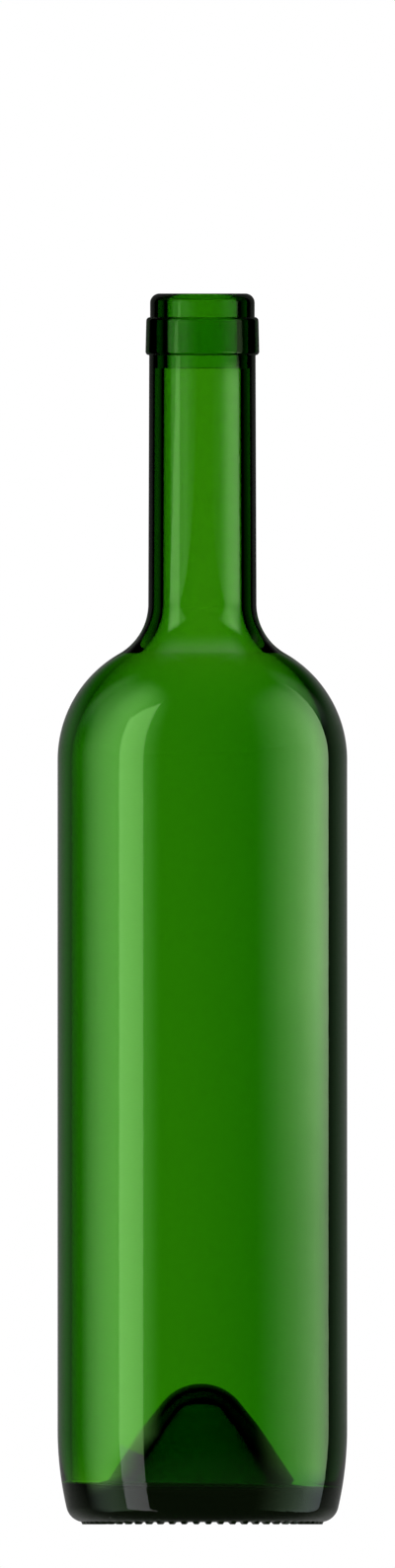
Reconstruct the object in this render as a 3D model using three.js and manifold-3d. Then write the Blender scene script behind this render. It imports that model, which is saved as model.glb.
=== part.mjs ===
import * as THREE from 'three';
import { mergeVertices } from 'three/addons/utils/BufferGeometryUtils.js';
import Module from 'manifold-3d';

// An empty Bordeaux wine bottle of green glass. Millimetres, +Z up, with the origin at the middle of
// the ring that the bottle stands on. The glass is divided into the zones that a glassmaker names, and
// neighbouring zones meet face to face.

// Finish: the lip round the mouth, the collar under it, and the bore that takes the cork.
const LIP_DIAMETER = 27.7;
const LIP_HEIGHT = 6.25;
const LIP_ROUNDING = 2.5;
const MOUTH_ROUNDING = 1.0;
const COLLAR_TOP_DIAMETER = 29.75;
const COLLAR_BOTTOM_DIAMETER = 30.15;
const COLLAR_HEIGHT = 10.1;
const COLLAR_ROUNDING = 1.0;
const BORE_DIAMETER = 18.5;
const BORE_BELOW_COLLAR = 3.4;
const BORE_STEP_HEIGHT = 0.1;

// Neck and shoulder. The shoulder's outline is two arcs that touch each other, outside and inside.
const NECK_TOP_DIAMETER = 28.2;
const NECK_BOTTOM_DIAMETER = 28.65;
const NECK_LENGTH = 65.8;
const NECK_WALL = 3.95;
const NECK_FILLET_RADIUS = 15.2;
const SHOULDER_RADIUS = 32.4;
const INNER_FILLET_RADIUS = 18.0;
const INNER_SHOULDER_RADIUS = 29.0;

// Straight body.
const BODY_DIAMETER = 76.7;
const BODY_WALL = 4.6;
const BODY_LENGTH = 177.3;

// Heel: a long arc that draws the wall in, a small arc under it, and the knurled standing ring.
const HEEL_HEIGHT = 25.2;
const HEEL_TAPER_RADIUS = 92.3;
const HEEL_RADIUS = 5.0;
const STANDING_WIDTH = 1.4;
const KNURL_COUNT = 60;
const KNURL_HEIGHT = 0.58;
const KNURL_LENGTH = 1.9;
const KNURL_INSET = 0.5;
const KNURL_LAND_WIDTH = 0.8;
const KNURL_ROOT_WIDTH = 1.7;
const KNURL_ROOT_DEPTH = 0.6;
const KNURL_SLANT = 15; // degrees, from the radius
const KNURL_TURN = 3; // degrees, of the first knurl from the front

// Punt: the pushed-up cone in the base, a little thicker on its slope than at its tip, and the floor
// inside the bottle round it.
const PUNT_DEPTH = 32.1;
const PUNT_TIP_RADIUS = 7.2;
const PUNT_FOOT_RADIUS = 2.5;
const PUNT_TIP_THICKNESS = 5.2;
const PUNT_SLOPE_THICKNESS = 5.45;
const FLOOR_HEIGHT = 9.6;
const FLOOR_PUNT_FILLET = 5.5;
const FLOOR_WALL_FILLET = 1.6;

// Fineness of the facets: how far a chord may stand off its arc, facets round the bottle, and the
// distance under which two outline points are one.
const ARC_TOLERANCE = 0.1;
const FACETS = 60;
const SAME_POINT = 1e-6;

// Radii that follow from the sizes above.
const boreRadius = BORE_DIAMETER / 2;
const lipRadius = LIP_DIAMETER / 2;
const neckTopRadius = NECK_TOP_DIAMETER / 2;
const neckBottomRadius = NECK_BOTTOM_DIAMETER / 2;
const neckTopInner = neckTopRadius - NECK_WALL;
const neckBottomInner = neckBottomRadius - NECK_WALL;
const bodyRadius = BODY_DIAMETER / 2;
const bodyInner = bodyRadius - BODY_WALL;

// Heights that follow, from the standing plane at 0 upwards.
const heelTop = HEEL_HEIGHT;
const bodyTop = heelTop + BODY_LENGTH;
const outerShoulder = shoulderArcs(neckBottomRadius, bodyRadius, NECK_FILLET_RADIUS, SHOULDER_RADIUS);
const innerShoulder = shoulderArcs(
  neckBottomInner, bodyInner, INNER_FILLET_RADIUS, INNER_SHOULDER_RADIUS);
const shoulderTop = bodyTop + Math.max(outerShoulder.height, innerShoulder.height);
const neckTop = shoulderTop + NECK_LENGTH;
const collarTop = neckTop + COLLAR_HEIGHT;
const mouthTop = collarTop + LIP_HEIGHT;

// Outline points are (radius, height).
function at(radius, height) {
  return new THREE.Vector2(radius, height);
}

// An arc as outline points, from one angle to another, with chords within ARC_TOLERANCE of it.
function arc(centre, radius, from, to) {
  const widestStep = 2 * Math.acos(1 - ARC_TOLERANCE / Math.max(radius, ARC_TOLERANCE));
  const steps = Math.max(2, Math.ceil(Math.abs(to - from) / widestStep));
  return new THREE.ArcCurve(centre.x, centre.y, radius, from, to, to < from).getPoints(steps);
}

// Two touching arcs that carry a wall from a narrow neck out to a wide body: a hollow fillet under the
// neck and a round shoulder on the body. Centres are given above the shoulder's foot.
function shoulderArcs(narrow, wide, filletRadius, shoulderRadius) {
  const across = (narrow + filletRadius) - (wide - shoulderRadius);
  const height = Math.sqrt((filletRadius + shoulderRadius) ** 2 - across ** 2);
  return {
    height,
    lean: Math.atan2(height, across),
    shoulder: { centre: at(wide - shoulderRadius, 0), radius: shoulderRadius },
    fillet: { centre: at(narrow + filletRadius, height), radius: filletRadius },
  };
}

// The outline of those arcs going up, from the body to the neck, with the shoulder's foot at a height.
function shoulderOutline(arcs, foot) {
  const { shoulder, fillet, lean } = arcs;
  const outline = [
    ...arc(shoulder.centre, shoulder.radius, 0, lean),
    ...arc(fillet.centre, fillet.radius, Math.PI + lean, Math.PI).slice(1),
  ];
  return outline.map((point) => at(point.x, point.y + foot));
}

// An outline without points that fall on the one before them.
function withoutRepeats(outline) {
  return outline.filter((point, i) => i === 0 || point.distanceTo(outline[i - 1]) > SAME_POINT);
}

// A solid of revolution. An outline that doesn't begin on the axis is a ring, and closes on itself.
function turned(outline) {
  const points = withoutRepeats(outline);
  if (points[0].x > 0) points.push(points[0].clone());
  return new THREE.LatheGeometry(points, FACETS).rotateX(Math.PI / 2);
}

// Rounded rim round the mouth.
function lipRing() {
  const wall = lipRadius - boreRadius;
  const outerRounding = Math.min(LIP_ROUNDING, wall - MOUTH_ROUNDING);
  const outerCentre = at(lipRadius - outerRounding, mouthTop - outerRounding);
  const innerCentre = at(boreRadius + MOUTH_ROUNDING, mouthTop - MOUTH_ROUNDING);
  return turned([
    at(boreRadius, collarTop),
    at(lipRadius, collarTop),
    ...arc(outerCentre, outerRounding, 0, Math.PI / 2),
    ...arc(innerCentre, MOUTH_ROUNDING, Math.PI / 2, Math.PI),
  ]);
}

// Band under the lip, a little wider at its foot, with both outer edges rounded.
function collarRing() {
  const topCentre = at(COLLAR_TOP_DIAMETER / 2 - COLLAR_ROUNDING, collarTop - COLLAR_ROUNDING);
  const footCentre = at(COLLAR_BOTTOM_DIAMETER / 2 - COLLAR_ROUNDING, neckTop + COLLAR_ROUNDING);
  return turned([
    at(boreRadius, neckTop),
    ...arc(footCentre, COLLAR_ROUNDING, -Math.PI / 2, 0),
    ...arc(topCentre, COLLAR_ROUNDING, 0, Math.PI / 2),
    at(boreRadius, collarTop),
  ]);
}

// Slightly tapered tube. The cork's bore runs on below the collar, then opens by a sloping step.
function neckTube() {
  const stepTop = neckTop - BORE_BELOW_COLLAR;
  return turned([
    at(neckBottomInner, shoulderTop),
    at(neckBottomRadius, shoulderTop),
    at(neckTopRadius, neckTop),
    at(boreRadius, neckTop),
    at(boreRadius, stepTop),
    at(neckTopInner, stepTop - BORE_STEP_HEIGHT),
  ]);
}

// Hollow shell between the body and the neck. Its inside reaches the neck at the shell's top.
function shoulderShell() {
  return turned([
    ...shoulderOutline(outerShoulder, bodyTop),
    at(neckBottomRadius, shoulderTop),
    ...shoulderOutline(innerShoulder, shoulderTop - innerShoulder.height).reverse(),
    at(bodyInner, bodyTop),
  ]);
}

// Straight wall.
function bodyWall() {
  return turned([
    at(bodyInner, heelTop),
    at(bodyRadius, heelTop),
    at(bodyRadius, bodyTop),
    at(bodyInner, bodyTop),
  ]);
}

// The two arcs of the heel, and the flat ring between them and the punt.
const taperCentre = at(bodyRadius - HEEL_TAPER_RADIUS, heelTop);
const heelDrop = heelTop - (KNURL_HEIGHT + HEEL_RADIUS);
const heelReach = Math.sqrt((HEEL_TAPER_RADIUS - HEEL_RADIUS) ** 2 - heelDrop ** 2);
const heelCentre = at(taperCentre.x + heelReach, KNURL_HEIGHT + HEEL_RADIUS);
const heelLean = Math.atan2(heelDrop, heelReach);
const standingInner = heelCentre.x - STANDING_WIDTH;

// The punt's cone touches the ball of its tip and the rounding of its foot, which lie on either side of
// it. Its normal points from the hollow under the bottle into the glass.
const tipCentre = at(0, PUNT_DEPTH - PUNT_TIP_RADIUS);
const footCentre = at(standingInner, KNURL_HEIGHT + PUNT_FOOT_RADIUS);
const tipToFoot = footCentre.clone().sub(tipCentre);
const coneLean = tipToFoot.angle() - 2 * Math.PI
  + Math.acos((PUNT_TIP_RADIUS + PUNT_FOOT_RADIUS) / tipToFoot.length());
const coneNormal = at(Math.cos(coneLean), Math.sin(coneLean));
const coneOffset = coneNormal.dot(tipCentre) + PUNT_TIP_RADIUS + PUNT_SLOPE_THICKNESS;

// The crown is the ball on the punt's upper side, which touches the slope and the top of the punt.
const crownTop = PUNT_DEPTH + PUNT_TIP_THICKNESS;
const crownRadius = (coneOffset - coneNormal.y * crownTop) / (1 - coneNormal.y);
const crownCentre = at(0, crownTop - crownRadius);

// Radius at which a line that lies the given distance inside the bottle from the cone reaches a height.
function coneRadius(height, distance) {
  return (coneOffset + distance - coneNormal.y * height) / coneNormal.x;
}

// The floor is shared half and half by the punt and the heel, and each rounds its own edge of it.
const floorInner = coneRadius(FLOOR_HEIGHT, 0);
const floorMiddle = (floorInner + bodyInner) / 2;
const widestPuntFillet = (floorMiddle - floorInner) * coneNormal.x / (1 - coneNormal.y);
const puntFillet = Math.min(FLOOR_PUNT_FILLET, widestPuntFillet);
const wallFillet = Math.min(FLOOR_WALL_FILLET, bodyInner - floorMiddle);

// One knurl: a bar with sloping sides and a flat land at height 0, rooted in the glass above it, and
// slanted from the radius that its middle stands on. It is made at the front and turned into place.
function knurlBar(turn) {
  const profile = new THREE.Shape([
    at(-KNURL_LAND_WIDTH / 2, 0),
    at(KNURL_LAND_WIDTH / 2, 0),
    at(KNURL_ROOT_WIDTH / 2, KNURL_HEIGHT),
    at(KNURL_ROOT_WIDTH / 2, KNURL_HEIGHT + KNURL_ROOT_DEPTH),
    at(-KNURL_ROOT_WIDTH / 2, KNURL_HEIGHT + KNURL_ROOT_DEPTH),
    at(-KNURL_ROOT_WIDTH / 2, KNURL_HEIGHT),
  ]);
  const bar = new THREE.ExtrudeGeometry(profile, { depth: KNURL_LENGTH, bevelEnabled: false });
  const middleRadius = standingInner + KNURL_INSET + KNURL_LENGTH / 2;
  return bar
    .translate(0, 0, -KNURL_LENGTH / 2)
    .rotateX(Math.PI / 2)
    .rotateZ(-THREE.MathUtils.degToRad(KNURL_SLANT))
    .translate(0, -middleRadius, 0)
    .rotateZ(THREE.MathUtils.degToRad(turn));
}

// Foot of the wall, with the knurl bars joined to its underside.
function heelRing(wasm) {
  const floorCentre = at(bodyInner - wallFillet, FLOOR_HEIGHT + wallFillet);
  const ring = turned([
    at(standingInner, KNURL_HEIGHT),
    ...arc(heelCentre, HEEL_RADIUS, -Math.PI / 2, -heelLean),
    ...arc(taperCentre, HEEL_TAPER_RADIUS, -heelLean, 0).slice(1),
    at(bodyInner, heelTop),
    ...arc(floorCentre, wallFillet, 0, -Math.PI / 2),
    at(floorMiddle, FLOOR_HEIGHT),
  ]);
  let solid = solidOf(wasm, ring);
  for (let i = 0; i < KNURL_COUNT; i += 1) {
    solid = solid.add(solidOf(wasm, knurlBar(KNURL_TURN + i * 360 / KNURL_COUNT)));
  }
  return geometryOf(solid);
}

// Pushed-up cone, with the rounded edge of the standing ring and half of the floor.
function puntCone() {
  const filletCentre = at(coneRadius(FLOOR_HEIGHT + puntFillet, puntFillet), FLOOR_HEIGHT + puntFillet);
  return turned([
    ...arc(tipCentre, PUNT_TIP_RADIUS, Math.PI / 2, coneLean),
    ...arc(footCentre, PUNT_FOOT_RADIUS, Math.PI + coneLean, Math.PI * 3 / 2),
    at(floorMiddle, FLOOR_HEIGHT),
    ...arc(filletCentre, puntFillet, Math.PI * 3 / 2, Math.PI + coneLean),
    ...arc(crownCentre, crownRadius, coneLean, Math.PI / 2),
  ].map(ontoAxis));
}

// Sets a point that lies within rounding error of the axis exactly on it.
function ontoAxis(point) {
  return Math.abs(point.x) < SAME_POINT ? at(0, point.y) : point;
}

// A closed geometry as a solid that can be joined to others.
function solidOf(wasm, geometry) {
  const bare = geometry.clone();
  bare.deleteAttribute('normal');
  bare.deleteAttribute('uv');
  const merged = mergeVertices(bare);
  return new wasm.Manifold(new wasm.Mesh({
    numProp: 3,
    vertProperties: new Float32Array(merged.getAttribute('position').array),
    triVerts: new Uint32Array(merged.getIndex().array),
  }));
}

// A solid as a geometry again.
function geometryOf(solid) {
  const mesh = solid.getMesh();
  const geometry = new THREE.BufferGeometry();
  geometry.setAttribute('position', new THREE.BufferAttribute(mesh.vertProperties, 3));
  geometry.setIndex(new THREE.BufferAttribute(mesh.triVerts, 1));
  geometry.computeVertexNormals();
  return geometry;
}

// Clear bottle glass, green in its depth.
function greenGlass() {
  return new THREE.MeshStandardMaterial({
    color: 0x2a6a10, roughness: 0.04, metalness: 0, transparent: true, opacity: 0.6,
  });
}

const wasm = await Module();
wasm.setup();

const bottle = new THREE.Group();
const zones = {
  lip_ring: lipRing(),
  collar_ring: collarRing(),
  neck_tube: neckTube(),
  shoulder_shell: shoulderShell(),
  body_wall: bodyWall(),
  heel_ring: heelRing(wasm),
  punt_cone: puntCone(),
};
for (const [name, geometry] of Object.entries(zones)) {
  const zone = new THREE.Mesh(geometry, greenGlass());
  zone.name = name;
  bottle.add(zone);
}

export default bottle;
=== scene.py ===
import math

import bmesh
import bpy
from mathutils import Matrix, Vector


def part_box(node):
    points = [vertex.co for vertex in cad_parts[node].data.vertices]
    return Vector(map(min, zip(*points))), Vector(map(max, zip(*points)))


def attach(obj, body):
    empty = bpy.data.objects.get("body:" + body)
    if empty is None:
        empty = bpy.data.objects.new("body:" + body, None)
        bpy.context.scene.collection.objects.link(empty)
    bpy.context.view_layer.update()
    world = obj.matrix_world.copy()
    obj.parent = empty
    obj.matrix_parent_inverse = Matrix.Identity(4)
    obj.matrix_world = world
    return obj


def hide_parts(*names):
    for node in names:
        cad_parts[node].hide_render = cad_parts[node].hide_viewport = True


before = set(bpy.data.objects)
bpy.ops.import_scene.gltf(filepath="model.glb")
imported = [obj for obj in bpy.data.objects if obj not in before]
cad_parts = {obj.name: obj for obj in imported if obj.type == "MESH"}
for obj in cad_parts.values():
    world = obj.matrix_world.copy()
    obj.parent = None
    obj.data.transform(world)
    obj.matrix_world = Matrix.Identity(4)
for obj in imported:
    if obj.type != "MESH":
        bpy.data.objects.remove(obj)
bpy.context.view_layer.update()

# Punt, underside. The base of the bottle is pushed up into a cone with a rounded tip, so that the glass
# stands on a ring and not on its middle. It is pressed by the mould's bottom plate while the glass is soft.
# The half outline of the whole bottle is drawn from here, point by point, in the plane of +X and +Z.
MM = 0.001
ARC_HOLD = 0.8 * MM
PUNT_DEPTH = 32.1 * MM
PUNT_TIP_RADIUS = 7.2 * MM
PUNT_FOOT_RADIUS = 2.5 * MM
KNURL_HEIGHT = 0.58 * MM
STANDING_INNER = 29.717 * MM
pen = [0.0, PUNT_DEPTH]


def line_to(radius, height, rings=1):
    """Draws the outline on in a straight line, with that many points along it."""
    step = ((radius - pen[0]) / rings, 0.0, (height - pen[1]) / rings)
    for _ in range(rings):
        bpy.ops.mesh.extrude_vertices_move(TRANSFORM_OT_translate={"value": step})
    pen[:] = [radius, height]


def held_line_to(radius, height, rings, hold=ARC_HOLD):
    """A straight line with a point close to each end, which keeps the shading of the arcs off it."""
    length = math.hypot(radius - pen[0], height - pen[1])
    across = (radius - pen[0]) / length
    along = (height - pen[1]) / length
    line_to(pen[0] + across * hold, pen[1] + along * hold)
    line_to(radius - across * hold, height - along * hold, rings)
    line_to(radius, height)


def arc(centre, degrees, steps):
    """Draws the outline on in an arc about a centre (radius, height), to the left for positive degrees."""
    turn = math.radians(degrees)
    bpy.ops.mesh.spin(
        steps=steps, angle=turn, center=(centre[0], 0.0, centre[1]), axis=(0.0, 1.0, 0.0))
    across = pen[0] - centre[0]
    along = pen[1] - centre[1]
    pen[:] = [
        centre[0] + across * math.cos(turn) - along * math.sin(turn),
        centre[1] + across * math.sin(turn) + along * math.cos(turn),
    ]


bpy.ops.object.select_all(action="DESELECT")
bpy.ops.mesh.primitive_plane_add(size=2 * MM, location=(0.0, 0.0, 0.0))
bottle = bpy.context.object
bottle.name = "bottle_glass"
bottle.data.name = "bottle_glass"
bpy.ops.object.mode_set(mode="EDIT")
bpy.ops.mesh.select_mode(type="VERT")
bpy.ops.mesh.select_all(action="SELECT")
bpy.ops.mesh.merge(type="CENTER")
bpy.ops.transform.translate(value=(0.0, 0.0, PUNT_DEPTH))

tip_centre = (0.0, PUNT_DEPTH - PUNT_TIP_RADIUS)
foot_centre = (STANDING_INNER, KNURL_HEIGHT + PUNT_FOOT_RADIUS)
tip_to_foot = (foot_centre[0] - tip_centre[0], foot_centre[1] - tip_centre[1])
cone_lean = math.degrees(
    math.atan2(tip_to_foot[1], tip_to_foot[0])
    + math.acos((PUNT_TIP_RADIUS + PUNT_FOOT_RADIUS) / math.hypot(*tip_to_foot)))
cone_normal = (math.cos(math.radians(cone_lean)), math.sin(math.radians(cone_lean)))
arc(tip_centre, cone_lean - 90.0, 14)
held_line_to(
    foot_centre[0] - cone_normal[0] * PUNT_FOOT_RADIUS,
    foot_centre[1] - cone_normal[1] * PUNT_FOOT_RADIUS, 4)
arc(foot_centre, 90.0 - cone_lean, 10)

# Standing ring and heel. The bottle rests on a narrow ring, rounds up from it and swells in a long
# shallow arc to the full width of the body, all in one with the wall.
STANDING_OUTER = 31.117 * MM
HEEL_RADIUS = 5.0 * MM
HEEL_TAPER_RADIUS = 92.3 * MM
BODY_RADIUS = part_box("body_wall")[1].x
HEEL_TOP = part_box("heel_ring")[1].z
KNURL_START = 30.217 * MM
KNURL_END_TURN = 11.5
heel_lean = math.degrees(math.asin(
    (HEEL_TOP - KNURL_HEIGHT - HEEL_RADIUS) / (HEEL_TAPER_RADIUS - HEEL_RADIUS)))
heel_centre = (STANDING_OUTER, KNURL_HEIGHT + HEEL_RADIUS)
line_to(KNURL_START, KNURL_HEIGHT)
line_to(STANDING_OUTER, KNURL_HEIGHT)
arc(heel_centre, KNURL_END_TURN, 1)
knurl_end = pen[0]
arc(heel_centre, 90.0 - KNURL_END_TURN - heel_lean, 14)
arc((BODY_RADIUS - HEEL_TAPER_RADIUS, HEEL_TOP), heel_lean, 12)

# Body. A straight cylindrical wall of glass, blown out against the sides of the mould. It runs into the
# heel and the shoulder without a crease.
BODY_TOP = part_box("body_wall")[1].z
held_line_to(BODY_RADIUS, BODY_TOP, 6)

# Shoulder. Two arcs that touch: a full round shoulder and a hollow fillet under the neck. It is blown in
# one with the body.
SHOULDER_RADIUS = 32.4 * MM
NECK_FILLET_RADIUS = 15.2 * MM
NECK_RADIUS = 14.325 * MM
NECK_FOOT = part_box("neck_tube")[0].z
shoulder_centre = (BODY_RADIUS - SHOULDER_RADIUS, BODY_TOP)
fillet_centre = (NECK_RADIUS + NECK_FILLET_RADIUS, NECK_FOOT)
shoulder_lean = math.degrees(math.atan2(
    fillet_centre[1] - shoulder_centre[1], fillet_centre[0] - shoulder_centre[0]))
arc(shoulder_centre, shoulder_lean, 48)

# Neck. A long tube of glass that narrows very slightly upwards, blown in one with the shoulder. The fillet
# runs into it without a crease.
NECK_TOP_RADIUS = 14.1 * MM
NECK_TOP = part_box("collar_ring")[0].z
neck_taper = math.degrees(math.atan2(NECK_RADIUS - NECK_TOP_RADIUS, NECK_TOP - NECK_FOOT))
arc(fillet_centre, neck_taper - shoulder_lean, 36)
held_line_to(NECK_TOP_RADIUS, NECK_TOP, 3)

# Collar and lip. The finish of the bottle, pressed first, in its own small mould: a band a little wider
# at its foot, and a rounded lip on it round the mouth.
COLLAR_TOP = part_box("collar_ring")[1].z
COLLAR_TOP_RADIUS = 14.875 * MM
COLLAR_FOOT_RADIUS = 15.075 * MM
LIP_RADIUS = 13.85 * MM
LIP_ROUNDING = 2.5 * MM
MOUTH_ROUNDING = 1.0 * MM
SHORT_HOLD = 0.3 * MM
SHORTEST_HOLD = 0.2 * MM
BORE_RADIUS = 9.25 * MM
MOUTH_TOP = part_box("lip_ring")[1].z
collar_foot_rounding = COLLAR_FOOT_RADIUS - NECK_TOP_RADIUS
collar_top_rounding = COLLAR_TOP_RADIUS - LIP_RADIUS
arc((NECK_TOP_RADIUS, NECK_TOP + collar_foot_rounding), 90.0, 8)
held_line_to(COLLAR_TOP_RADIUS, COLLAR_TOP - collar_top_rounding, 1, hold=SHORT_HOLD)
arc((LIP_RADIUS, COLLAR_TOP - collar_top_rounding), 90.0, 8)
held_line_to(LIP_RADIUS, MOUTH_TOP - LIP_ROUNDING, 1, hold=SHORT_HOLD)
arc((LIP_RADIUS - LIP_ROUNDING, MOUTH_TOP - LIP_ROUNDING), 90.0, 12)
held_line_to(BORE_RADIUS + MOUTH_ROUNDING, MOUTH_TOP, 1, hold=SHORTEST_HOLD)
arc((BORE_RADIUS + MOUTH_ROUNDING, MOUTH_TOP - MOUTH_ROUNDING), 90.0, 8)

# Inside of the bottle. The bore that takes the cork opens by a small step below the collar. The blown wall
# below it follows the outside down to the floor round the punt. The punt's slope is a little thicker than
# its crown.
NECK_WALL = 3.95 * MM
BODY_WALL = 4.6 * MM
BORE_BELOW_COLLAR = 3.4 * MM
BORE_STEP_HEIGHT = 0.1 * MM
INNER_FILLET_RADIUS = 17.5 * MM
INNER_SHOULDER_RADIUS = 31.0 * MM
FLOOR_HEIGHT = 9.6 * MM
FLOOR_WALL_FILLET = 1.6 * MM
FLOOR_PUNT_FILLET = 5.5 * MM
PUNT_TIP_THICKNESS = 5.2 * MM
PUNT_SLOPE_THICKNESS = 5.45 * MM
INNER_NECK_HOLD = 0.5 * MM
body_inner = BODY_RADIUS - BODY_WALL
neck_inner = NECK_RADIUS - NECK_WALL
inner_across = (neck_inner + INNER_FILLET_RADIUS) - (body_inner - INNER_SHOULDER_RADIUS)
inner_height = math.sqrt((INNER_FILLET_RADIUS + INNER_SHOULDER_RADIUS) ** 2 - inner_across ** 2)
inner_lean = math.degrees(math.atan2(inner_height, inner_across))
inner_fillet_centre = (neck_inner + INNER_FILLET_RADIUS, NECK_FOOT)
neck_touch = (
    inner_fillet_centre[0] - INNER_FILLET_RADIUS * math.cos(math.radians(neck_taper)),
    inner_fillet_centre[1] - INNER_FILLET_RADIUS * math.sin(math.radians(neck_taper)))
step_top = NECK_TOP - BORE_BELOW_COLLAR
held_line_to(BORE_RADIUS, step_top, 2, hold=SHORT_HOLD)
held_line_to(NECK_TOP_RADIUS - NECK_WALL, step_top - BORE_STEP_HEIGHT, 1, hold=SHORTEST_HOLD)
held_line_to(*neck_touch, 3, hold=INNER_NECK_HOLD)
arc(inner_fillet_centre, inner_lean - neck_taper, 36)
arc((body_inner - INNER_SHOULDER_RADIUS, NECK_FOOT - inner_height), -inner_lean, 48)
held_line_to(body_inner, FLOOR_HEIGHT + FLOOR_WALL_FILLET, 6)
arc((body_inner - FLOOR_WALL_FILLET, FLOOR_HEIGHT + FLOOR_WALL_FILLET), -90.0, 8)


def cone_radius(height, distance):
    """Radius at a height of a line that far above the punt's upper side."""
    return (cone_offset + distance - cone_normal[1] * height) / cone_normal[0]


cone_offset = cone_normal[1] * tip_centre[1] + PUNT_TIP_RADIUS + PUNT_SLOPE_THICKNESS
punt_fillet_centre = (
    cone_radius(FLOOR_HEIGHT + FLOOR_PUNT_FILLET, FLOOR_PUNT_FILLET), FLOOR_HEIGHT + FLOOR_PUNT_FILLET)
crown_top = PUNT_DEPTH + PUNT_TIP_THICKNESS
crown_radius = (cone_offset - cone_normal[1] * crown_top) / (1.0 - cone_normal[1])
crown_centre = (0.0, crown_top - crown_radius)
held_line_to(punt_fillet_centre[0], FLOOR_HEIGHT, 1, hold=SHORT_HOLD)
arc(punt_fillet_centre, cone_lean - 90.0, 8)
held_line_to(
    cone_normal[0] * crown_radius, crown_centre[1] + cone_normal[1] * crown_radius, 4)
arc(crown_centre, 90.0 - cone_lean, 16)

# The outline is turned round the axis, four columns of faces to each knurl, and closed.
KNURLS = 60
COLUMNS_PER_KNURL = 4
COLUMNS = COLUMNS_PER_KNURL * KNURLS
SEAM_GAP = 0.001 * MM
column_turn = 360.0 / COLUMNS
FIRST_KNURL = 2 * column_turn - 90.0
bpy.ops.mesh.select_all(action="SELECT")
bpy.ops.mesh.spin(steps=COLUMNS, angle=math.tau, center=(0.0, 0.0, 0.0), axis=(0.0, 0.0, 1.0))
bpy.ops.mesh.select_all(action="SELECT")
bpy.ops.mesh.remove_doubles(threshold=SEAM_GAP)
bpy.ops.mesh.normals_make_consistent(inside=False)

# The wall of a blown bottle is seldom even. Here it is thinner on the left than on the right, so the inside
# of the body stands that much off the axis, less and less up the shoulder and not at the floor or the neck.
WALL_SHIFT = -0.7 * MM
WALL_SHIFT_TOP = 226.0 * MM
shape = bmesh.from_edit_mesh(bottle.data)
shape.normal_update()
for vertex in shape.verts:
    radius = math.hypot(vertex.co.x, vertex.co.y)
    faces_in = vertex.normal.x * vertex.co.x + vertex.normal.y * vertex.co.y < 0.0
    off_the_punt = vertex.co.z > crown_top or radius > body_inner - FLOOR_WALL_FILLET
    if faces_in and off_the_punt and FLOOR_HEIGHT < vertex.co.z < WALL_SHIFT_TOP:
        lower = min(1.0, (vertex.co.z - FLOOR_HEIGHT) / FLOOR_WALL_FILLET)
        upper = min(1.0, (WALL_SHIFT_TOP - vertex.co.z) / (WALL_SHIFT_TOP - NECK_FOOT + inner_height))
        vertex.co.x += WALL_SHIFT * lower * upper * upper * (3.0 - 2.0 * upper)
bmesh.update_edit_mesh(bottle.data)

# Knurls. Small slanted bars, 60 of them, under the standing ring. They are cut in the mould so that the hot
# base touches the conveyor as little as possible. Each is a patch of the ring, drawn down to a narrow land.
KNURL_SLANT = 15.0
KNURL_MIDDLE = 31.167 * MM
KNURL_SIDE = 0.38 * MM
STANDING_DEPTH = 0.1 * MM
STANDING_MATCH = 0.01 * MM
SMOOTH_ANGLE = 35.0


def slant_turn(radius):
    """How far a knurl has turned round the axis at a radius, in degrees, because of its slant."""
    return -math.degrees(math.tan(math.radians(KNURL_SLANT)) * (radius - KNURL_MIDDLE) / KNURL_MIDDLE)


def select_where(elements, wanted):
    """Selects the elements of the mesh being edited that the test picks, and nothing else."""
    shape = bmesh.from_edit_mesh(bottle.data)
    for part in (*shape.verts, *shape.edges, *shape.faces):
        part.select = False
    for part in getattr(shape, elements):
        if wanted(part):
            part.select_set(True)
    bmesh.update_edit_mesh(bottle.data)


def knurl_turn(face):
    """Where a face of the standing ring lies round the axis, in degrees from the first knurl's start."""
    middle = face.calc_center_median()
    turn = math.degrees(math.atan2(middle.y, middle.x)) - slant_turn(math.hypot(middle.x, middle.y))
    return (turn - FIRST_KNURL + column_turn) % (COLUMNS_PER_KNURL * column_turn)


def on_knurl(face):
    """Whether a face of the standing ring belongs to a knurl."""
    middle = face.calc_center_median()
    radius = math.hypot(middle.x, middle.y)
    return (KNURL_START < radius < knurl_end and middle.z < KNURL_HEIGHT + STANDING_DEPTH
            and knurl_turn(face) < 2 * column_turn)


bpy.ops.mesh.select_mode(type="VERT")
for ring in (KNURL_START, STANDING_OUTER, knurl_end):
    select_where("verts", lambda v: v.co.z < KNURL_HEIGHT + STANDING_DEPTH
                 and abs(math.hypot(v.co.x, v.co.y) - ring) < STANDING_MATCH)
    bpy.ops.transform.rotate(
        value=-math.radians(slant_turn(ring)), orient_axis="Z", center_override=(0.0, 0.0, 0.0))
bpy.ops.mesh.select_mode(type="FACE")
select_where("faces", on_knurl)
bpy.ops.mesh.inset(thickness=KNURL_SIDE, depth=KNURL_HEIGHT, use_even_offset=True)
bpy.ops.transform.resize(value=(1.0, 1.0, 0.0), center_override=(0.0, 0.0, 0.0))
bpy.ops.object.mode_set(mode="OBJECT")
bpy.ops.object.shade_smooth_by_angle(angle=math.radians(SMOOTH_ANGLE))

# Moulded soda-lime container glass, coloured green through its depth with chromium. The surface is fire
# polished and mirrors sharply, with the very slight waviness of a blown wall, about 25 mm from wave to
# wave. The foot has the fine stipple of the mould's bottom plate, 0.7 mm from grain to grain, and scuffs.
GLASS_DEPTH_COLOUR = "B3E400"
GLASS_DENSITY = 790.0
GLASS_IOR = 1.52
GLASS_MIRROR_TINT = "BCFF9B"
GLASS_WAVE = 25.0 * MM
GLASS_WAVE_HEIGHT = 0.02 * MM
STIPPLE_GRAIN = 0.7 * MM
STIPPLE_HEIGHT = 0.05 * MM
STIPPLE_FULL = 1.8 * MM
STIPPLE_END = 4.5 * MM
FOOT_ROUGHNESS = 0.35


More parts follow.
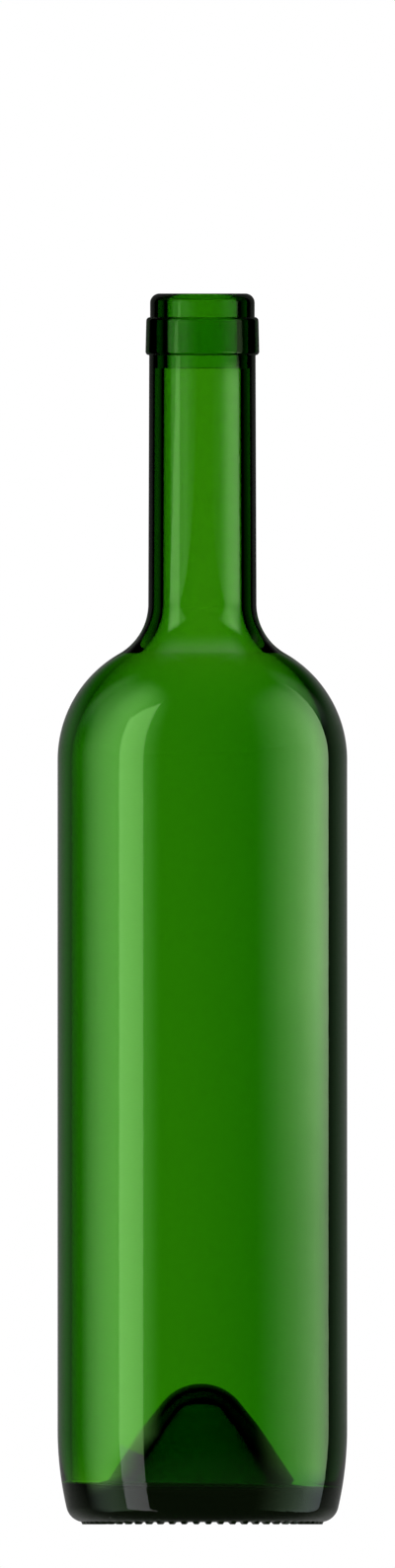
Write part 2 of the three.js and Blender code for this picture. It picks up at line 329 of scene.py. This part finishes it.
def linear(hex_colour):
    """A written sRGB colour as the linear numbers that a shader takes."""
    channels = [int(hex_colour[i:i + 2], 16) / 255.0 for i in (0, 2, 4)]
    return [*(c / 12.92 if c <= 0.04045 else ((c + 0.055) / 1.055) ** 2.4 for c in channels), 1.0]


def node(tree, kind, settings=None, links=None, **attributes):
    """Adds a node to a tree, with values for its sockets and links into them."""
    made = tree.nodes.new(kind)
    for name, value in attributes.items():
        setattr(made, name, value)
    for socket, value in (settings or {}).items():
        made.inputs[socket].default_value = value
    for socket, source in (links or {}).items():
        tree.links.new(source, made.inputs[socket])
    return made


glass = bpy.data.materials.new("moulded_green_bottle_glass")
glass.use_nodes = True
tree = glass.node_tree
tree.nodes.clear()
place = node(tree, "ShaderNodeTexCoord")
waves = node(
    tree, "ShaderNodeTexNoise", {"Scale": 1.0 / GLASS_WAVE, "Detail": 1.0, "Roughness": 0.4},
    {"Vector": place.outputs["Object"]})
wavy = node(
    tree, "ShaderNodeBump", {"Strength": 1.0, "Distance": GLASS_WAVE_HEIGHT}, {"Height": waves.outputs[0]})
grains = node(
    tree, "ShaderNodeTexNoise", {"Scale": 1.0 / STIPPLE_GRAIN, "Detail": 2.0, "Roughness": 0.6},
    {"Vector": place.outputs["Object"]})
height = node(tree, "ShaderNodeSeparateXYZ", links={0: place.outputs["Object"]})
on_the_foot = node(
    tree, "ShaderNodeMapRange",
    {"From Min": STIPPLE_FULL, "From Max": STIPPLE_END, "To Min": 1.0, "To Max": 0.0},
    {"Value": height.outputs["Z"]}, interpolation_type="SMOOTHSTEP")
stipple = node(
    tree, "ShaderNodeMath", links={0: grains.outputs[0], 1: on_the_foot.outputs[0]}, operation="MULTIPLY")
stippled = node(
    tree, "ShaderNodeBump", {"Strength": 1.0, "Distance": STIPPLE_HEIGHT},
    {"Height": stipple.outputs[0], "Normal": wavy.outputs[0]})
scuffed = node(
    tree, "ShaderNodeMath", {1: FOOT_ROUGHNESS}, {0: stipple.outputs[0]}, operation="MULTIPLY")
clear_glass = node(tree, "ShaderNodeBsdfPrincipled", {
    "Base Color": (1.0, 1.0, 1.0, 1.0),
    "IOR": GLASS_IOR,
    "Transmission Weight": 1.0,
    "Specular Tint": linear(GLASS_MIRROR_TINT),
}, {"Roughness": scuffed.outputs[0], "Normal": stippled.outputs[0]})
green_depth = node(tree, "ShaderNodeVolumeAbsorption", {
    "Color": linear(GLASS_DEPTH_COLOUR),
    "Density": GLASS_DENSITY,
})
node(tree, "ShaderNodeOutputMaterial", links={
    "Surface": clear_glass.outputs["BSDF"],
    "Volume": green_depth.outputs["Volume"],
})
bottle.data.materials.clear()
bottle.data.materials.append(glass)
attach(bottle, "root")
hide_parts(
    "lip_ring", "collar_ring", "neck_tube", "shoulder_shell", "body_wall", "heel_ring", "punt_cone")

# Floor. A sheet of pale matt paper under the bottle. Its fibres give it a fine grain, drawn 1.5 mm wide so
# that it shows, and very slight clouds in its tone.
PAPER_GRAIN = 1.5 * MM
PAPER_GRAIN_HEIGHT = 0.08 * MM
PAPER_CLOUD = 60.0 * MM
PAPER_DARK = "E9E9E5"
PAPER_LIGHT = "F0F0EE"
PAPER_ROUGHNESS = (0.82, 0.96)
FLOOR_SIDE = 3.0
bpy.ops.object.select_all(action="DESELECT")
bpy.ops.mesh.primitive_plane_add(size=FLOOR_SIDE, location=(0.0, 0.0, 0.0))
floor = bpy.context.object
floor.name = "paper_floor"
floor.visible_glossy = False
paper = bpy.data.materials.new("matt_white_paper")
paper.use_nodes = True
tree = paper.node_tree
tree.nodes.clear()
place = node(tree, "ShaderNodeTexCoord")
fibres = node(
    tree, "ShaderNodeTexNoise", {"Scale": 1.0 / PAPER_GRAIN, "Detail": 3.0},
    {"Vector": place.outputs["Object"]})
clouds = node(
    tree, "ShaderNodeTexNoise", {"Scale": 1.0 / PAPER_CLOUD, "Detail": 4.0},
    {"Vector": place.outputs["Object"]})
grain = node(
    tree, "ShaderNodeBump", {"Strength": 0.5, "Distance": PAPER_GRAIN_HEIGHT}, {"Height": fibres.outputs[0]})
tone = node(
    tree, "ShaderNodeMix", {"A": linear(PAPER_DARK), "B": linear(PAPER_LIGHT)},
    {"Factor": clouds.outputs[0]}, data_type="RGBA")
matt = node(
    tree, "ShaderNodeMapRange", {"To Min": PAPER_ROUGHNESS[0], "To Max": PAPER_ROUGHNESS[1]},
    {"Value": fibres.outputs[0]})
sheet = node(tree, "ShaderNodeBsdfPrincipled", links={
    "Base Color": tone.outputs["Result"], "Roughness": matt.outputs[0], "Normal": grain.outputs[0]})
node(tree, "ShaderNodeOutputMaterial", links={"Surface": sheet.outputs["BSDF"]})
floor.data.materials.append(paper)

# Backdrop. A white wall where it is seen directly, and a white panel of limited height where it is seen
# through the glass. What the glass mirrors is dim, as in a dark studio with one lit panel behind the bottle.
# The ranges are of the X, Y or Z of a direction.
PANEL_TOP = (0.3, 0.5)
DIM_TOP = (0.16, 0.46)
DIM_LEVEL = 0.19
DIM_WALL = (0.41, 1.0)
LOW_FILL = (-0.12, -0.3)
LOW_FILL_LEVEL = 0.1
SIDE_LIGHT = (-0.2, 0.62)
SIDE_LIGHT_LEFT = 0.5
SIDE_LIGHT_RIGHT = 0.1
SIDE_WALL = (0.6, 0.85)
world = bpy.data.worlds.new("studio")
bpy.context.scene.world = world
world.use_nodes = True
tree = world.node_tree
tree.nodes.clear()
ray = node(tree, "ShaderNodeLightPath")
not_mirrored = node(
    tree, "ShaderNodeMath", {1: 0.5}, {0: ray.outputs["Glossy Depth"]}, operation="LESS_THAN")
from_within = node(
    tree, "ShaderNodeMath", {1: 1.5}, {0: ray.outputs["Transmission Depth"]}, operation="GREATER_THAN")
off_the_floor = node(
    tree, "ShaderNodeMath", {1: 0.5}, {0: ray.outputs["Diffuse Depth"]}, operation="LESS_THAN")
through_glass = node(
    tree, "ShaderNodeMath", links={0: from_within.outputs[0], 1: off_the_floor.outputs[0]},
    operation="MULTIPLY")
direction = node(tree, "ShaderNodeTexCoord")
towards = node(tree, "ShaderNodeSeparateXYZ", links={0: direction.outputs["Generated"]})
panel_top = node(
    tree, "ShaderNodeMapRange",
    {"From Min": PANEL_TOP[0], "From Max": PANEL_TOP[1], "To Min": 1.0, "To Max": 0.0},
    {"Value": towards.outputs["Z"]}, interpolation_type="SMOOTHSTEP")
dim_top = node(
    tree, "ShaderNodeMapRange",
    {"From Min": DIM_TOP[0], "From Max": DIM_TOP[1], "To Min": DIM_LEVEL, "To Max": 0.0},
    {"Value": towards.outputs["Z"]}, interpolation_type="SMOOTHSTEP")
dim_wall = node(
    tree, "ShaderNodeMapRange",
    {"From Min": DIM_WALL[0], "From Max": DIM_WALL[1], "To Min": 0.0},
    {"Value": towards.outputs["Y"], "To Max": dim_top.outputs["Result"]})
low_fill = node(
    tree, "ShaderNodeMapRange",
    {"From Min": LOW_FILL[0], "From Max": LOW_FILL[1], "To Max": LOW_FILL_LEVEL},
    {"Value": towards.outputs["Z"]})
dim = node(
    tree, "ShaderNodeMath", links={0: dim_wall.outputs["Result"], 1: low_fill.outputs["Result"]},
    operation="ADD")
side_light = node(
    tree, "ShaderNodeMapRange",
    {"From Min": SIDE_LIGHT[0], "From Max": SIDE_LIGHT[1],
     "To Min": SIDE_LIGHT_LEFT, "To Max": SIDE_LIGHT_RIGHT},
    {"Value": towards.outputs["X"]})
side_wall = node(
    tree, "ShaderNodeMapRange",
    {"From Min": SIDE_WALL[0], "From Max": SIDE_WALL[1], "To Min": 0.0},
    {"Value": towards.outputs["Y"], "To Max": side_light.outputs["Result"]})
mirrored = node(
    tree, "ShaderNodeMapRange", links={
        "Value": from_within.outputs[0], "To Min": dim.outputs[0],
        "To Max": side_wall.outputs["Result"]})
straight = node(
    tree, "ShaderNodeMapRange", {"To Min": 1.0},
    {"Value": through_glass.outputs[0], "To Max": panel_top.outputs["Result"]})
level = node(
    tree, "ShaderNodeMapRange", links={
        "Value": not_mirrored.outputs[0], "To Min": mirrored.outputs["Result"],
        "To Max": straight.outputs["Result"]})
wall = node(
    tree, "ShaderNodeBackground", {"Color": (1.0, 1.0, 1.0, 1.0)}, {"Strength": level.outputs["Result"]})
node(tree, "ShaderNodeOutputWorld", links={"Surface": wall.outputs["Background"]})

# Studio light. Softboxes stand far off to the left and right, and one bare strip at the front left. They
# are seen only as what the glass mirrors.
STUDIO_DISTANCE = 6.0
BELOW_THE_TABLE = "E0D8FF"
SOFTBOX_SLOPE_FOOT = 85.0 * MM
SOFTBOX_SLOPE_TOP = 150.0 * MM
LEAN_FULL = -0.95
LEAN_START = -0.2
SHARP_EDGE = 0.1
LEFT_CLOTH = "E0FFD3"
RIGHT_CLOTH = "E6FFDA"


def softbox(name, turn, half_angle, low, high, peak, colour, rise, fall, top, foot, lean,
            table_share=1.0):
    """A softbox facing the bottle, that many degrees round from the camera towards +X. Its light swells
    and fades from its own left edge to its right one, from rise[2] of it at rise[0] to full at rise[1],
    and from full at fall[0] to fall[2] of it at fall[1]. Upwards it fades from top[0] to nothing at
    top[1], and downwards from foot[0] to foot[2] of it at foot[1], where it has the table's cooler tone.
    Up to 85 mm over the table it has table_share of its light, and all of it from 150 mm up. Below the
    table the edge towards the camera leans away from it, by that share of the width."""
    width = 2.0 * STUDIO_DISTANCE * math.tan(math.radians(half_angle))
    tall = high - low
    lamp = bpy.data.lights.new(name, "AREA")
    lamp.shape = "RECTANGLE"
    lamp.size = width
    lamp.size_y = tall
    lamp.energy = math.pi * width * tall * peak
    lamp.use_nodes = True
    tree = lamp.node_tree
    tree.nodes.clear()
    place = node(tree, "ShaderNodeNewGeometry")
    across = node(tree, "ShaderNodeSeparateXYZ", links={0: place.outputs["Parametric"]})
    table_edge = node(
        tree, "ShaderNodeMapRange",
        {"From Min": (foot[1] - low) / tall, "From Max": (foot[0] - low) / tall},
        {"Value": across.outputs["Y"]}, interpolation_type="SMOOTHSTEP")
    tone = node(
        tree, "ShaderNodeMix", {"A": linear(BELOW_THE_TABLE), "B": linear(colour)},
        {"Factor": table_edge.outputs[0]}, data_type="RGBA")
    level = node(
        tree, "ShaderNodeMapRange", {"To Min": foot[2], "To Max": 1.0}, {"Value": table_edge.outputs[0]})
    leaning = node(
        tree, "ShaderNodeMapRange",
        {"From Min": (LEAN_FULL - low) / tall, "From Max": (LEAN_START - low) / tall,
         "To Min": lean, "To Max": 0.0},
        {"Value": across.outputs["Y"]})
    sideways = node(
        tree, "ShaderNodeMath", links={0: across.outputs["X"], 1: leaning.outputs[0]}, operation="ADD")
    slopes = (
        (across.outputs["X"] if lean > 0.0 else sideways.outputs[0], rise[0], rise[1], rise[2], 1.0),
        (sideways.outputs[0] if lean > 0.0 else across.outputs["X"], fall[0], fall[1], 1.0, fall[2]),
        (across.outputs["Y"], (top[0] - low) / tall, (top[1] - low) / tall, 1.0, 0.0),
        (across.outputs["Y"], (SOFTBOX_SLOPE_FOOT - low) / tall, (SOFTBOX_SLOPE_TOP - low) / tall,
         table_share, 1.0),
    )
    for source, start, end, first, last in slopes:
        slope = node(
            tree, "ShaderNodeMapRange",
            {"From Min": start, "From Max": end, "To Min": first, "To Max": last},
            {"Value": source},
            interpolation_type="LINEAR" if end - start < SHARP_EDGE else "SMOOTHSTEP")
        level = node(
            tree, "ShaderNodeMath", links={0: level.outputs[0], 1: slope.outputs[0]}, operation="MULTIPLY")
    cloth = node(
        tree, "ShaderNodeEmission", links={"Color": tone.outputs["Result"], "Strength": level.outputs[0]})
    node(tree, "ShaderNodeOutputLight", links={"Surface": cloth.outputs[0]})
    stand = bpy.data.objects.new(name, lamp)
    angle = math.radians(turn)
    stand.location = (
        STUDIO_DISTANCE * math.sin(angle), -STUDIO_DISTANCE * math.cos(angle), (low + high) / 2.0)
    stand.rotation_euler = (math.radians(90.0), 0.0, angle)
    stand.visible_camera = False
    stand.visible_diffuse = False
    stand.visible_transmission = False
    stand.visible_volume_scatter = False
    bpy.context.collection.objects.link(stand)


softbox(
    "left_softbox", turn=-80.0, half_angle=52.0, low=-4.5, high=20.0, peak=4.2, colour=LEFT_CLOTH,
    rise=(0.22, 0.59, 0.0), fall=(0.534, 0.934, 0.0), top=(4.2, 14.0), foot=(-1.2, -1.65, 0.36), lean=0.17)
softbox(
    "left_high_softbox", turn=-114.0, half_angle=18.0, low=1.5, high=10.0, peak=0.55, colour=LEFT_CLOTH,
    rise=(0.0, 0.4, 0.0), fall=(0.6, 1.0, 0.0), top=(6.0, 10.0), foot=(4.0, 1.5, 0.0), lean=0.0)
softbox(
    "right_high_softbox", turn=127.0, half_angle=14.0, low=1.5, high=9.0, peak=0.5, colour=RIGHT_CLOTH,
    rise=(0.0, 0.2, 0.0), fall=(0.4, 1.0, 0.0), top=(5.0, 9.0), foot=(3.5, 1.5, 0.0), lean=0.0)
softbox(
    "right_softbox", turn=77.4, half_angle=43.4, low=-4.5, high=13.0, peak=5.0, colour=RIGHT_CLOTH,
    rise=(0.1, 0.766, 0.0), fall=(0.725, 1.0, 0.66), top=(0.5, 9.8), foot=(-0.8, -1.65, 0.45), lean=-0.06,
    table_share=0.68)

STRIP_DISTANCE = 1.5
STRIP_FROM = -69.9
STRIP_TO = -47.9
STRIP_TOP = 2.97
STRIP_TABLE = -0.28
STRIP_BOTTOM = -2.4
STRIP_LEVEL = 2.8
STRIP_LOW_LEVEL = 4.0
STRIP_LOW_TONE = "D39CFF"
strip_left = STRIP_DISTANCE * math.tan(math.radians(STRIP_FROM))
strip_right = STRIP_DISTANCE * math.tan(math.radians(STRIP_TO))
for name, low, high, strip_level, tone in (
        ("strip_light", STRIP_TABLE, STRIP_TOP, STRIP_LEVEL, "FFFFFF"),
        ("strip_light_low", STRIP_BOTTOM, STRIP_TABLE, STRIP_LOW_LEVEL, STRIP_LOW_TONE)):
    tube = bpy.data.lights.new(name, "AREA")
    tube.shape = "RECTANGLE"
    tube.size = strip_right - strip_left
    tube.size_y = high - low
    tube.energy = math.pi * tube.size * tube.size_y * strip_level
    tube.color = linear(tone)[:3]
    strip = bpy.data.objects.new(name, tube)
    strip.location = ((strip_left + strip_right) / 2.0, -STRIP_DISTANCE, (low + high) / 2.0)
    strip.rotation_euler = (math.radians(90.0), 0.0, 0.0)
    strip.visible_camera = False
    strip.visible_diffuse = False
    strip.visible_transmission = False
    strip.visible_volume_scatter = False
    bpy.context.collection.objects.link(strip)

# Neck cards. Black cards with a glowing part stand beside the neck, as a photographer's flags and small
# reflectors do. They shape what the neck, collar and lip mirror. Only mirrored light meets them, and what is
# seen straight through the neck passes.
CARD_REACH = 17.5 * MM
CARD_FOOT = 234.0 * MM
CARD_TOP = 450.0 * MM
CARD_BACK = 60.0 * MM
CARD_FRONT = -140.0 * MM
CARD_LEVEL = 3.9
CARD_STRIP_SLANT = 0.071
CARD_STRIP_FRONT = 0.5
CARD_STRIP_BACK = 0.3
NECK_PATH_NEAR = (-0.76, -1.5 * MM)
NECK_PATH_FAR = (-1.0, -11.8 * MM)
PATH_EXCESS = (1.3 * MM, 3.5 * MM)
GLOW_FOOT_FRONT = -22.0 * MM
GLOW_FOOT_SLANT = 0.8
GLOW_FOOT = (224.4 * MM, 227.4 * MM)
COLLAR_EDGE = (303.0 * MM, 309.0 * MM)
GRAZED = (-2.0 * MM, 0.0)
GRAZED_LEVEL = 0.06
CARD_EDGE_BACK = -4.0 * MM
CARD_EDGE_SLANT = 0.25
CARD_EDGE = (233.2 * MM, 237.8 * MM)


def card_material(name, glow, peak, collar_share, within, strip=None):
    """The card's light along its length, as (place along Y in mm, share of the peak) from the front to the
    back. It is collar_share as strong at the height of the collar and the lip. Light that comes from within
    the glass is held back by the share given. A strip is (front, back, share), in mm too. The glow is met by
    light from the neck, told by how far it has come, and its foot rises towards the front."""
    card = bpy.data.materials.new(name)
    card.use_nodes = True
    tree = card.node_tree
    tree.nodes.clear()
    ray = node(tree, "ShaderNodeLightPath")
    spot = node(tree, "ShaderNodeNewGeometry")
    place = node(tree, "ShaderNodeSeparateXYZ", links={0: spot.outputs["Position"]})
    along = node(
        tree, "ShaderNodeMapRange", {"From Min": CARD_FRONT, "From Max": CARD_BACK},
        {"Value": place.outputs["Y"]})
    level = node(tree, "ShaderNodeValToRGB", links={"Fac": along.outputs[0]})
    while len(level.color_ramp.elements) < len(glow):
        level.color_ramp.elements.new(0.5)
    for stop, (at, share) in zip(level.color_ramp.elements, glow):
        stop.position = (at * MM - CARD_FRONT) / (CARD_BACK - CARD_FRONT)
        stop.color = (share, share, share, 1.0)
    level = level.outputs["Color"]
    if strip:
        front_edge = node(
            tree, "ShaderNodeMapRange",
            {"From Min": (strip[0] - CARD_STRIP_FRONT) * MM,
             "From Max": (strip[0] + CARD_STRIP_FRONT) * MM},
            {"Value": place.outputs["Y"]}, interpolation_type="SMOOTHSTEP")
        lean = node(
            tree, "ShaderNodeMath", {1: CARD_STRIP_SLANT, 2: -CARD_STRIP_SLANT * NECK_FOOT},
            {0: place.outputs["Z"]}, operation="MULTIPLY_ADD")
        slanted = node(
            tree, "ShaderNodeMath", links={0: place.outputs["Y"], 1: lean.outputs[0]}, operation="ADD")
        back_edge = node(
            tree, "ShaderNodeMapRange",
            {"From Min": (strip[1] - CARD_STRIP_BACK) * MM, "From Max": (strip[1] + CARD_STRIP_BACK) * MM,
             "To Min": strip[2], "To Max": 0.0},
            {"Value": slanted.outputs[0]}, interpolation_type="SMOOTHSTEP")
        level = node(
            tree, "ShaderNodeMath", links={0: front_edge.outputs[0], 1: back_edge.outputs[0], 2: level},
            operation="MULTIPLY_ADD").outputs[0]
    short_path = node(
        tree, "ShaderNodeMath", {1: NECK_PATH_NEAR[0], 2: NECK_PATH_NEAR[1]}, {0: place.outputs["Y"]},
        operation="MULTIPLY_ADD")
    long_path = node(
        tree, "ShaderNodeMath", {1: NECK_PATH_FAR[0], 2: NECK_PATH_FAR[1]}, {0: place.outputs["Y"]},
        operation="MULTIPLY_ADD")
    path = node(
        tree, "ShaderNodeMath", links={0: short_path.outputs[0], 1: long_path.outputs[0]},
        operation="MAXIMUM")
    too_far = node(
        tree, "ShaderNodeMath", links={0: ray.outputs["Ray Length"], 1: path.outputs[0]},
        operation="SUBTRACT")
    forward = node(
        tree, "ShaderNodeMath", {1: GLOW_FOOT_FRONT}, {0: place.outputs["Y"]}, operation="MINIMUM")
    above_foot = node(
        tree, "ShaderNodeMath", {1: GLOW_FOOT_SLANT}, {0: forward.outputs[0], 2: place.outputs["Z"]},
        operation="MULTIPLY_ADD")
    for source, start, end, first, last in (
            (above_foot.outputs[0], *GLOW_FOOT, 0.0, peak),
            (place.outputs["Z"], *COLLAR_EDGE, 1.0, collar_share),
            (too_far.outputs[0], *PATH_EXCESS, 1.0, 0.0)):
        slope = node(
            tree, "ShaderNodeMapRange",
            {"From Min": start, "From Max": end, "To Min": first, "To Max": last},
            {"Value": source}, interpolation_type="SMOOTHSTEP")
        level = node(tree, "ShaderNodeMath", links={0: level, 1: slope.outputs[0]}, operation="MULTIPLY")
        level = level.outputs[0]
    grazed = node(
        tree, "ShaderNodeMapRange",
        {"From Min": GRAZED[0], "From Max": GRAZED[1], "To Min": 0.0, "To Max": GRAZED_LEVEL},
        {"Value": place.outputs["Y"]})
    level = node(tree, "ShaderNodeMath", links={0: level, 1: grazed.outputs[0]}, operation="ADD")
    inside = node(
        tree, "ShaderNodeMath", {1: 0.5}, {0: ray.outputs["Transmission Depth"]}, operation="GREATER_THAN")
    level = node(
        tree, "ShaderNodeMapRange", {"To Max": 0.0},
        {"Value": inside.outputs[0], "To Min": level.outputs[0]})
    glowing = node(tree, "ShaderNodeEmission", links={"Strength": level.outputs[0]})
    out_of_the_way = node(tree, "ShaderNodeBsdfTransparent")
    met = node(
        tree, "ShaderNodeMath", {1: 0.5}, {0: ray.outputs["Glossy Depth"]}, operation="GREATER_THAN")
    share = node(
        tree, "ShaderNodeMapRange", {"To Min": 1.0, "To Max": within}, {"Value": inside.outputs[0]})
    beside = node(
        tree, "ShaderNodeMath", {1: CARD_EDGE_BACK}, {0: place.outputs["Y"]}, operation="MINIMUM")
    above_edge = node(
        tree, "ShaderNodeMath", {1: CARD_EDGE_SLANT}, {0: beside.outputs[0], 2: place.outputs["Z"]},
        operation="MULTIPLY_ADD")
    foot = node(
        tree, "ShaderNodeMapRange", {"From Min": CARD_EDGE[0], "From Max": CARD_EDGE[1]},
        {"Value": above_edge.outputs[0]}, interpolation_type="SMOOTHSTEP")
    hold = node(tree, "ShaderNodeMath", links={0: met.outputs[0], 1: share.outputs[0]}, operation="MULTIPLY")
    hold = node(tree, "ShaderNodeMath", links={0: hold.outputs[0], 1: foot.outputs[0]}, operation="MULTIPLY")
    surface = node(tree, "ShaderNodeMixShader", links={
        0: hold.outputs[0], 1: out_of_the_way.outputs[0], 2: glowing.outputs[0]})
    node(tree, "ShaderNodeOutputMaterial", links={"Surface": surface.outputs[0]})
    return card


def neck_card(name, material, place, size, turn):
    """A flat card at a place, turned about X, Y and Z by degrees, that nothing but mirrored light meets."""
    bpy.ops.object.select_all(action="DESELECT")
    bpy.ops.mesh.primitive_plane_add(size=1.0, rotation=[math.radians(angle) for angle in turn])
    card = bpy.context.object
    card.name = name
    card.location = place
    card.scale = (size[0], size[1], 1.0)
    card.data.materials.append(material)
    card.visible_camera = False
    card.visible_diffuse = False
    card.visible_volume_scatter = False
    card.visible_shadow = False


LEFT_GLOW = (
    (-117.6, 0.0), (-72.5, 0.04), (-50.5, 0.1), (-39.6, 0.17), (-35.4, 0.27), (-31.6, 0.33), (-15.3, 0.33),
    (-13.9, 0.0))
RIGHT_GLOW = (
    (-57.0, 0.0), (-31.6, 0.08), (-26.5, 0.23), (-22.5, 0.5), (-19.4, 0.72), (-16.6, 0.88), (-14.5, 0.92),
    (-12.2, 0.85), (-11.2, 0.7), (-10.5, 0.0))
CARD_STRIP = (-22.5, -13.9, 0.55)
for name, side, card in (
        ("left_neck_card", -1.0, card_material(
            "left_neck_card", LEFT_GLOW, CARD_LEVEL, collar_share=0.6, within=0.5, strip=CARD_STRIP)),
        ("right_neck_card", 1.0, card_material(
            "right_neck_card", RIGHT_GLOW, CARD_LEVEL, collar_share=0.2, within=0.0))):
    neck_card(
        name, card, (side * CARD_REACH, (CARD_FRONT + CARD_BACK) / 2.0, (CARD_FOOT + CARD_TOP) / 2.0),
        (CARD_TOP - CARD_FOOT, CARD_BACK - CARD_FRONT), (0.0, 90.0, 0.0))

BACK_CARD_WIDTH = 64.0 * MM
neck_card(
    "back_neck_card",
    card_material("back_neck_card", ((-130.0, 0.0), (60.0, 0.0)), 0.0, collar_share=1.0, within=1.0),
    (0.0, CARD_BACK, (CARD_FOOT + CARD_TOP) / 2.0), (BACK_CARD_WIDTH, CARD_TOP - CARD_FOOT),
    (90.0, 0.0, 0.0))

# Ring reflector. A glowing ring round the foot of the neck, seen only as the soft band that the hollow
# fillet under the neck mirrors. It is met by light that has come 8 to 15 mm up from the fillet, measured as
# at the middle of the band, and fades out towards both ends of the band.
RING_HEIGHT = 243.0 * MM
RING_LEVEL = 0.8
RING_SPREAD = 28.7 * MM
RING_SIDE = 44.0 * MM
RING_START = (7.6 * MM, 10.2 * MM)
RING_FADE = (10.2 * MM, 14.2 * MM)
RING_FADE_SHARE = 0.5
RING_END = (13.0 * MM, 15.0 * MM)
RING_BACK = (-6.0 * MM, -2.0 * MM)
RING_LEFT = (-19.0 * MM, -9.0 * MM)
RING_LEFT_SHARE = 0.8
RING_MIDDLE = (-9.0 * MM, 2.0 * MM)
RING_RIGHT = (10.5 * MM, 17.3 * MM)
ring_light = bpy.data.materials.new("ring_reflector")
ring_light.use_nodes = True
tree = ring_light.node_tree
tree.nodes.clear()
ray = node(tree, "ShaderNodeLightPath")
met = node(tree, "ShaderNodeMath", {1: 0.5}, {0: ray.outputs["Glossy Depth"]}, operation="GREATER_THAN")
outside = node(
    tree, "ShaderNodeMath", {1: 0.5}, {0: ray.outputs["Transmission Depth"]}, operation="LESS_THAN")
level = node(tree, "ShaderNodeMath", links={0: met.outputs[0], 1: outside.outputs[0]}, operation="MULTIPLY")
spot = node(tree, "ShaderNodeNewGeometry")
place = node(tree, "ShaderNodeSeparateXYZ", links={0: spot.outputs["Position"]})
sideways = node(tree, "ShaderNodeMath", {1: RING_SPREAD}, {0: place.outputs["X"]}, operation="DIVIDE")
squared = node(
    tree, "ShaderNodeMath", links={0: sideways.outputs[0], 1: sideways.outputs[0]}, operation="MULTIPLY")
left_over = node(
    tree, "ShaderNodeMath", {0: 1.0}, {1: squared.outputs[0]}, operation="SUBTRACT", use_clamp=True)
facing = node(tree, "ShaderNodeMath", links={0: left_over.outputs[0]}, operation="SQRT")
path = node(
    tree, "ShaderNodeMath", links={0: ray.outputs["Ray Length"], 1: facing.outputs[0]}, operation="MULTIPLY")
for source, start, end, first, last in (
        (path.outputs[0], *RING_START, 0.0, RING_LEVEL),
        (path.outputs[0], *RING_FADE, 1.0, RING_FADE_SHARE),
        (path.outputs[0], *RING_END, 1.0, 0.0),
        (place.outputs["Y"], *RING_BACK, 1.0, 0.0),
        (place.outputs["X"], *RING_LEFT, 0.0, RING_LEFT_SHARE),
        (place.outputs["X"], *RING_MIDDLE, 1.0, 1.0 / RING_LEFT_SHARE),
        (place.outputs["X"], *RING_RIGHT, 1.0, 0.0)):
    slope = node(
        tree, "ShaderNodeMapRange",
        {"From Min": start, "From Max": end, "To Min": first, "To Max": last},
        {"Value": source}, interpolation_type="SMOOTHSTEP")
    level = node(
        tree, "ShaderNodeMath", links={0: level.outputs[0], 1: slope.outputs[0]}, operation="MULTIPLY")
ring_glow = node(tree, "ShaderNodeEmission", links={"Strength": level.outputs[0]})
out_of_the_way = node(tree, "ShaderNodeBsdfTransparent")
surface = node(tree, "ShaderNodeAddShader", links={0: ring_glow.outputs[0], 1: out_of_the_way.outputs[0]})
node(tree, "ShaderNodeOutputMaterial", links={"Surface": surface.outputs[0]})
neck_card("ring_reflector", ring_light, (0.0, 0.0, RING_HEIGHT), (RING_SIDE, RING_SIDE), (0.0, 0.0, 0.0))

# Camera. Level with the bottle, and without perspective, as through a long lens far off.
PHOTO_HEIGHT = 1588
PIXEL = 0.2615 * MM
AXIS_RIGHT_OF_MIDDLE = 4.95 * PIXEL
MIDDLE_BELOW_MIDDLE = 126.55 * PIXEL
CAMERA_DISTANCE = 1.6
lens = bpy.data.cameras.new("camera")
lens.type = "ORTHO"
lens.sensor_fit = "VERTICAL"
lens.ortho_scale = PHOTO_HEIGHT * PIXEL
camera = bpy.data.objects.new("camera", lens)
camera.location = (-AXIS_RIGHT_OF_MIDDLE, -CAMERA_DISTANCE, MOUTH_TOP / 2 + MIDDLE_BELOW_MIDDLE)
camera.rotation_euler = (math.radians(90.0), 0.0, 0.0)
bpy.context.collection.objects.link(camera)
bpy.context.scene.camera = camera
bpy.context.scene.view_settings.view_transform = "Standard"
